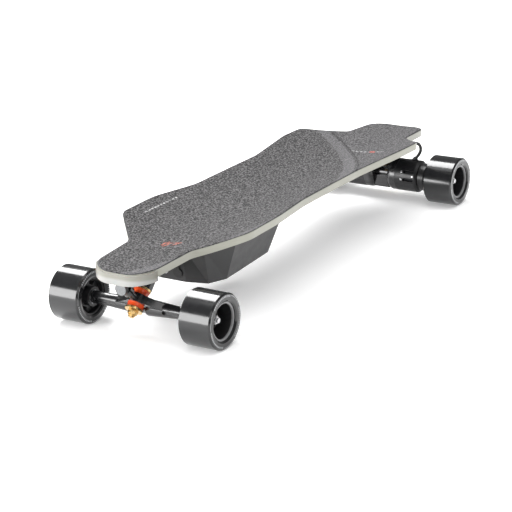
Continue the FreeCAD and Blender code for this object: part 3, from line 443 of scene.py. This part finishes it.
# Places in plan and widths, in mm.
BAND_CENTRE = (125.4, -433.1)
BAND = (556, 577)        # inner and outer radius of the pale band
BAND_SOFT = 1.2
LINE = (581, 584)        # and of the dark line behind it
LINE_SOFT = 0.8
TAIL_RISE = 2            # the grit turns paler over this much past the line
FRONT_DASHES = ((249, -99), (160, -97), 3.0)
FRONT_PERIOD = 8.3
FRONT_SHARE = 0.7
REAR_DASHES = ((-259, 7), (-251, 80), 3.6)
REAR_PERIOD = 9.2
REAR_SHARE = 0.66
RED_DASH = ((-256, 46), (-254, 58), 4.6)
MARK_STROKES = (((340, -6), (321, -2)), ((336, 9), (322, 16)), ((331, -8), (318, 19)),
                ((343, -1), (331, 3)))
MARK_WIDTH = 2.6


def segment_mask(look, x, y, start, end, width, soft=0.4):
    """1 on a straight stroke width mm wide, and how far along it from start each point lies."""
    run = (end[0] - start[0], end[1] - start[1])
    length = math.hypot(*run)
    unit = (run[0] / length, run[1] / length)
    dx = look.math("SUBTRACT", x, start[0])
    dy = look.math("SUBTRACT", y, start[1])
    along = look.math("ADD", look.math("MULTIPLY", dx, unit[0]), look.math("MULTIPLY", dy, unit[1]))
    across = look.math("SUBTRACT", look.math("MULTIPLY", dy, unit[0]),
                       look.math("MULTIPLY", dx, unit[1]))
    inside = between(look, along, 0, length, soft)
    thin = between(look, across, -width / 2, width / 2, soft)
    return look.math("MULTIPLY", inside, thin), along


def dashes(look, x, y, stroke, period, share):
    """A stroke broken into dashes: share of every period is printed."""
    line, along = segment_mask(look, x, y, *stroke)
    step = look.math("FRACT", look.math("DIVIDE", along, period))
    return look.math("MULTIPLY", line, look.math("LESS_THAN", step, share))


def add_band(look, x, y, grit):
    """Lays the pale band, the dark line behind it and the slightly paler tail over the grit."""
    dx = look.math("SUBTRACT", x, BAND_CENTRE[0])
    dy = look.math("SUBTRACT", y, BAND_CENTRE[1])
    reach = look.math("SQRT", look.math("ADD", look.math("MULTIPLY", dx, dx),
                                        look.math("MULTIPLY", dy, dy)))
    band = between(look, reach, *BAND, BAND_SOFT)
    line = between(look, reach, *LINE, LINE_SOFT)
    tail = look.span(reach, LINE[1], LINE[1] + TAIL_RISE)
    grit = look.blend(look.math("MULTIPLY", tail, 0.10), grit, FLAKE)
    grit = look.blend(look.math("MULTIPLY", band, 0.26), grit, FLAKE)
    return look.blend(look.math("MULTIPLY", line, 0.5), grit, GRIP_DARK)


def add_print(look, x, y, coarse, grit):
    """Lays two rows of dashes, one red dash and the nose mark over the grit, worn by its grain."""
    front = dashes(look, x, y, FRONT_DASHES, FRONT_PERIOD, FRONT_SHARE)
    rear = dashes(look, x, y, REAR_DASHES, REAR_PERIOD, REAR_SHARE)
    white = look.math("MULTIPLY", look.math("MAXIMUM", front, rear),
                      look.span(coarse, 0.4, 0.62, 0.1, 0.6))
    grit = look.blend(white, grit, PRINT_WHITE)
    red, _ = segment_mask(look, x, y, *RED_DASH)
    grit = look.blend(look.math("MULTIPLY", red, 0.8), grit, PRINT_RED)
    for start, end in MARK_STROKES:
        stroke, _ = segment_mask(look, x, y, start, end, MARK_WIDTH)
        stroke = look.math("MULTIPLY", stroke, look.span(coarse, 0.4, 0.6, 0.0, 0.75))
        grit = look.blend(stroke, grit, MARK_RED)
    return grit


def grip_finish():
    """Speckled silicon-carbide grit with a curved band and plain printed dashes."""
    look = Finish("grip_grit", 0.85, 0.0)
    x, y, _ = look.split()
    x = look.math("MULTIPLY", x, PER_METRE)
    y = look.math("MULTIPLY", y, PER_METRE)
    coarse = look.noise(3.0, 3, rough=0.6)
    fine = look.noise(0.9, 2)
    speck = look.math("ADD", look.math("MULTIPLY", coarse, 0.75), look.math("MULTIPLY", fine, 0.25))
    speck = look.span(speck, 0.465, 0.575)
    grit = look.blend(speck, GRIP_DARK, GRIP_LIGHT)
    grit = add_band(look, x, y, grit)
    grit = add_print(look, x, y, coarse, grit)
    return look.done(grit, look.span(fine, 0.3, 0.7, 0.7, 0.95), look.bump(speck, 0.35, 0.8))


def deck_finish():
    """Cream-painted edge with faint plies; the flat faces are black."""
    look = Finish("deck_paint", 0.42, 0.0, Coat_Weight=0.25, Coat_Roughness=0.2)
    rounded, _ = look.edges(0.8)
    up = look.split(look.node("ShaderNodeTexCoord").outputs["Normal"])[2]
    side = look.math("LESS_THAN", look.math("ABSOLUTE", up), 0.6)
    stretched = look.node("ShaderNodeMapping", {"Vector": look.place, "Scale": (0.12, 0.12, 4)})
    ply = look.noise(3.0, 2, stretched.outputs["Vector"])
    cloud = look.noise(35)
    cream = look.blend(ply, tint(0.29, 0.29, 0.24), tint(0.40, 0.40, 0.34))
    cream = look.blend(look.math("MULTIPLY", cloud, 0.35), cream, tint(0.35, 0.345, 0.30))
    black = look.blend(look.noise(1.5, 4), tint(0.012, 0.012, 0.013), tint(0.03, 0.03, 0.032))
    return look.done(look.blend(side, black, cream), look.span(cloud, 0.3, 0.7, 0.36, 0.48),
                     look.bump(ply, 0.03, 0.4, rounded))


def bumper_finish():
    """Cream urethane nose guard, paler along its lower band."""
    look = Finish("bumper_urethane", 0.38, 0.0, Subsurface_Weight=0.1, Subsurface_Scale=0.003,
                  Coat_Weight=0.25, Coat_Roughness=0.25)
    rounded, _ = look.edges(0.8)
    z = look.split()[2]
    low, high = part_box("nose_bumper")
    tall = high.z - low.z
    lift = look.span(z, low.z + 0.35 * tall, low.z + 0.55 * tall)
    cloud = look.noise(12)
    fine = look.noise(0.9, 3)
    body = look.blend(lift, tint(0.33, 0.33, 0.32), tint(0.21, 0.205, 0.175))
    body = look.blend(look.math("MULTIPLY", cloud, 0.3), body, tint(0.23, 0.225, 0.20))
    return look.done(body, look.span(fine, 0.3, 0.7, 0.32, 0.44), look.bump(fine, 0.03, 0.4, rounded))


LENS_CELL = 1 / 0.48     # mm
TRACE_PITCH = 1 / 0.18   # mm


def lens_finish():
    """Frosted plastic with small moulded cells."""
    look = Finish("lens_frost", 0.3, 0.0, Coat_Weight=0.6, Coat_Roughness=0.05,
                  Transmission_Weight=0.15)
    cells = look.node("ShaderNodeTexVoronoi", {"Vector": look.place, "Scale": 1 / (LENS_CELL * MM)})
    cell = cells.outputs["Distance"]
    body = look.blend(cell, tint(0.22, 0.225, 0.235), tint(0.14, 0.145, 0.15))
    return look.done(body, look.span(cell, 0, 0.5, 0.2, 0.35), look.bump(cell, 0.2, 0.5))


def cell_wrap():
    """Blue shrink wrap."""
    look = Finish("cell_wrap", 0.3, 0.0)
    fine = look.noise(3)
    body = look.blend(fine, tint(0.05, 0.14, 0.4), tint(0.08, 0.2, 0.5))
    return look.done(body, look.span(fine, 0.3, 0.7, 0.25, 0.35), look.bump(fine, 0.05, 0.3))


def solder_mask():
    """Green board with a brick-like pattern of traces."""
    look = Finish("solder_mask", 0.35, 0.0)
    trace = look.node("ShaderNodeTexBrick", {"Vector": look.place, "Scale": 1 / (TRACE_PITCH * MM),
                                             "Color1": tint(0.01, 0.09, 0.03),
                                             "Color2": tint(0.02, 0.13, 0.05),
                                             "Mortar": tint(0.05, 0.2, 0.08)})
    return look.done(trace.outputs["Color"], None, look.bump(trace.outputs["Fac"], 0.05, 0.4))


BLACK = tint(0.016, 0.016, 0.018)
STEEL = tint(0.60, 0.60, 0.61)
BRASS = tint(0.76, 0.52, 0.22)
ORANGE = tint(0.86, 0.09, 0.015)

satin_black = worn_metal("satin_black", shade(BLACK, 0.45), 0.2, 0.0, grain=1.2, coat=0.5)
motor_black = worn_metal("motor_black", shade(BLACK, 0.4), 0.34, 0.0, grain=1.2, coat=0.05)
bright_steel = brushed_metal("bright_steel", STEEL, 0.26)
dark_steel = brushed_metal("dark_steel", tint(0.03, 0.03, 0.032), 0.45)
brass_plate = brushed_metal("brass_plate", BRASS, 0.24)
black_oxide = worn_metal("black_oxide", tint(0.05, 0.05, 0.052), 0.4, 0.8)
case_plastic = moulded("case_plastic", tint(0.022, 0.022, 0.023), 0.42)
trim_plastic = moulded("trim_plastic", tint(0.02, 0.02, 0.021), 0.42)
black_rubber = soft_rubber("black_rubber", tint(0.018, 0.018, 0.018))
cable_rubber = soft_rubber("cable_rubber", tint(0.016, 0.016, 0.017), 0.42)
bushing_urethane = {"front": cast_urethane("orange_urethane", ORANGE),
                    "rear": cast_urethane("black_urethane", tint(0.02, 0.02, 0.021))}
winding = worn_metal("winding", tint(0.36, 0.15, 0.06), 0.4, 0.7)

FINISHES = {
    "battery_case": case_plastic, "battery_pack": cell_wrap(), "bms_board": solder_mask(),
    "esc_board": solder_mask(), "bushing_washers": brass_plate, "kingpin_nuts": brass_plate,
    "kingpins": brass_plate, "cable_cover": trim_plastic, "wire_raceway": trim_plastic,
    "case_gasket": black_rubber, "case_screws": black_oxide, "charge_port": trim_plastic,
    "charge_port_cap": black_rubber, "power_button": bright_steel, "deck": deck_finish(),
    "grip_tape": grip_finish(), "nose_bumper": bumper_finish(), "headlight_body": trim_plastic,
    "headlight_lens": lens_finish(), "motor_stators": winding, "motor_wire_ribbon": cable_rubber,
    "pivot_cups": black_rubber, "truck_bolts": black_oxide,
}
for end in ENDS:
    FINISHES.update({
        f"{end}_axle": bright_steel, f"{end}_axle_nuts": bright_steel,
        f"{end}_speed_washers": bright_steel, f"{end}_baseplate": satin_black,
        f"{end}_hanger": satin_black, f"{end}_riser": black_rubber,
        f"{end}_bushing_boardside": bushing_urethane[end],
        f"{end}_bushing_roadside": bushing_urethane[end],
    })
    urethane = tyre_finish(end)
    core = core_finish(end)
    for side in SIDES:
        FINISHES[f"{end}_{side}_tyre"] = urethane
        FINISHES[f"{end}_{side}_core"] = core
        FINISHES[f"{end}_{side}_bearings"] = bright_steel
for side in SIDES:
    FINISHES.update({
        f"{side}_drive_hub": motor_black, f"{side}_motor_housing": motor_black,
        f"{side}_rotor": dark_steel, f"{side}_motor_cable": cable_rubber,
    })


def coat(thing, material):
    thing.data.materials.clear()
    thing.data.materials.append(material)


CAD_CREASE = 28          # degrees

for name, node in NODES.items():
    coat(node, FINISHES[name])
    smooth(node.data, CAD_CREASE)
for cable in cables:
    coat(cable, cable_rubber)


# ---------------------------------------------------------------- truck bushings

# Millimetres.  The ring is the eye of the hanger round the kingpin.
RING_OUT = 12.5
RING_HEIGHT = 58.5
RING_HALF = 7.0
SLOPE = math.sqrt(0.5)
BUSHING_SEAT = 2.5
BUSHING_RADIUS = 13.5
BUSHING_BORE = 5.2
BUSHING_HEIGHTS = {"boardside": 14.0, "roadside": 11.5}
BUSHING_RIM = 0.9
RIM_INSET = 0.25
RIM_LIFT = 0.28          # a share of the rim
WAIST_INSET = 0.7
WALL_STEPS = 8


def kingpin_direction(end):
    """From the truck's ring up along the kingpin to the board."""
    return Vector((-SLOPE * ENDS[end], 0, SLOPE))


def ring_middle(end):
    return Vector(((WHEELBASE_HALF + RING_OUT) * ENDS[end], 0, RING_HEIGHT)) * MM


def bushing_profile(height):
    """An hourglass wall, slightly drawn in at the middle, with rounded rims and the kingpin's bore."""
    outer = BUSHING_RADIUS
    rim = BUSHING_RIM
    wall = [(outer - rim, 0.0), (outer - RIM_INSET, RIM_LIFT * rim), (outer, rim)]
    for step in range(1, WALL_STEPS):
        share = step / WALL_STEPS
        pinch = WAIST_INSET * math.sin(math.pi * share) ** 2
        wall.append((outer - pinch, rim + share * (height - 2 * rim)))
    wall += [(outer, height - rim), (outer - RIM_INSET, height - RIM_LIFT * rim),
             (outer - rim, height)]
    return wall + [(BUSHING_BORE, height), (BUSHING_BORE, height * 0.5), (BUSHING_BORE, 0.0)]


def make_bushing(end, name):
    """A bushing turned along the kingpin from the hanger's ring, towards the board or towards the road.
    """
    height = BUSHING_HEIGHTS[name]
    direction = kingpin_direction(end) * (1 if name == "boardside" else -1)
    start = ring_middle(end) + direction * ((RING_HALF - BUSHING_SEAT) * MM)
    barrel = revolved(f"{end}_{name}_urethane", bushing_profile(height), start, direction,
                      closed=True)
    coat(barrel, bushing_urethane[end])
    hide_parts(f"{end}_bushing_{name}")
    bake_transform(barrel)


for end in ENDS:
    for name in BUSHING_HEIGHTS:
        make_bushing(end, name)


# ---------------------------------------------------------------- motor housing screws

# Millimetres and degrees.  A screw's place is a step round the housing and a distance from the
# board's middle plane.
MOTOR_RADIUS = 30.5
SLOT_GROUPS = 3
SLOT_LIFT = 12
SLOT_PITCH = 28
SCREW_SEGMENTS = 24
FULL_TURN = 360
SCREW_PLACES = ((-0.5, 47.6), (0.5, 47.6), (0.0, 71.0))
SCREW_HEAD = [(0.0, 0.25), (0.9, 0.25), (1.05, 0.75), (1.7, 0.7), (2.1, 0.45), (2.25, -0.25),
              (0.0, -0.25)]


def make_housing_screws(side):
    """Small recessed-head screws: two inboard and one outboard of each pair of cooling slots."""
    axle = Vector((-WHEELBASE_HALF, 0, WHEEL_RADIUS))
    for group in range(SLOT_GROUPS):
        for index, (step, along) in enumerate(SCREW_PLACES):
            angle = math.radians(SLOT_LIFT + SLOT_PITCH * step + FULL_TURN * group / SLOT_GROUPS)
            outward = Vector((math.cos(angle), 0, math.sin(angle)))
            base = axle + outward * MOTOR_RADIUS + Y_AXIS * along * SIDES[side]
            screw = revolved(f"{side}_housing_screw_{group}_{index}", SCREW_HEAD, base * MM,
                             outward, segments=SCREW_SEGMENTS)
            coat(screw, bright_steel)
            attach(screw, "rear_truck")


for side in SIDES:
    make_housing_screws(side)


# ---------------------------------------------------------------- stage and light

# Metres, watts and degrees.
FLOOR_SIZE = 24.0
FLOOR_CELLS = 4
FLOOR_GLOW = 0.28
FLOOR_CLOUD = 900        # mm
WORLD_STRENGTH = 0.25
SKY_ENERGY = 2.35
SKY_SPREAD = 80
SKY_TILT = (-8, 6, 0)
BOARD_MIDDLE = (0, 0, 0.08)
LAMPS = {                # stand, aim, size and power
    "top_box": ((-0.6, -1.25, 2.1), BOARD_MIDDLE, (1.2, 1.45), 84),
    "low_box": ((1.9, -1.1, 0.47), (0, 0, 0.2), (1.1, 0.9), 36),
    "fill": ((2.0, 2.6, 1.3), BOARD_MIDDLE, (1.6, 1.2), 9),
}


def make_floor():
    """A large pale sheet that glows a little, so it stays near white."""
    look = Finish("floor_paper", 0.9, 0.0, Emission_Color=tint(1, 1, 1), Emission_Strength=FLOOR_GLOW)
    cloud = look.noise(FLOOR_CLOUD)
    look.done(look.blend(cloud, tint(0.93, 0.93, 0.93), tint(0.95, 0.95, 0.95)))
    mesh = bmesh.new()
    bmesh.ops.create_grid(mesh, x_segments=FLOOR_CELLS, y_segments=FLOOR_CELLS,
                          size=FLOOR_SIZE / 2)
    data = bpy.data.meshes.new("floor")
    mesh.to_mesh(data)
    mesh.free()
    floor = new_object("floor", data)
    coat(floor, look.material)


def make_lamp(name, stand, aim, size, watts):
    lamp = bpy.data.lights.new(name, "AREA")
    lamp.shape = "RECTANGLE"
    lamp.size = size[0]
    lamp.size_y = size[1]
    lamp.energy = watts
    holder = new_object(name, lamp)
    holder.location = stand
    holder.rotation_euler = (Vector(stand) - Vector(aim)).to_track_quat("Z", "Y").to_euler()


def make_lights():
    """A broad soft sky, two softboxes and a weak fill."""
    world = bpy.data.worlds.new("studio")
    world.use_nodes = True
    background = world.node_tree.nodes["Background"]
    background.inputs["Color"].default_value = tint(1, 1, 1)
    background.inputs["Strength"].default_value = WORLD_STRENGTH
    bpy.context.scene.world = world
    sky = bpy.data.lights.new("sky", "SUN")
    sky.energy = SKY_ENERGY
    sky.angle = math.radians(SKY_SPREAD)
    holder = new_object("sky", sky)
    holder.rotation_euler = [math.radians(angle) for angle in SKY_TILT]
    for name, (stand, aim, size, watts) in LAMPS.items():
        make_lamp(name, stand, aim, size, watts)


make_floor()
make_lights()
bpy.context.scene.view_settings.view_transform = "Standard"
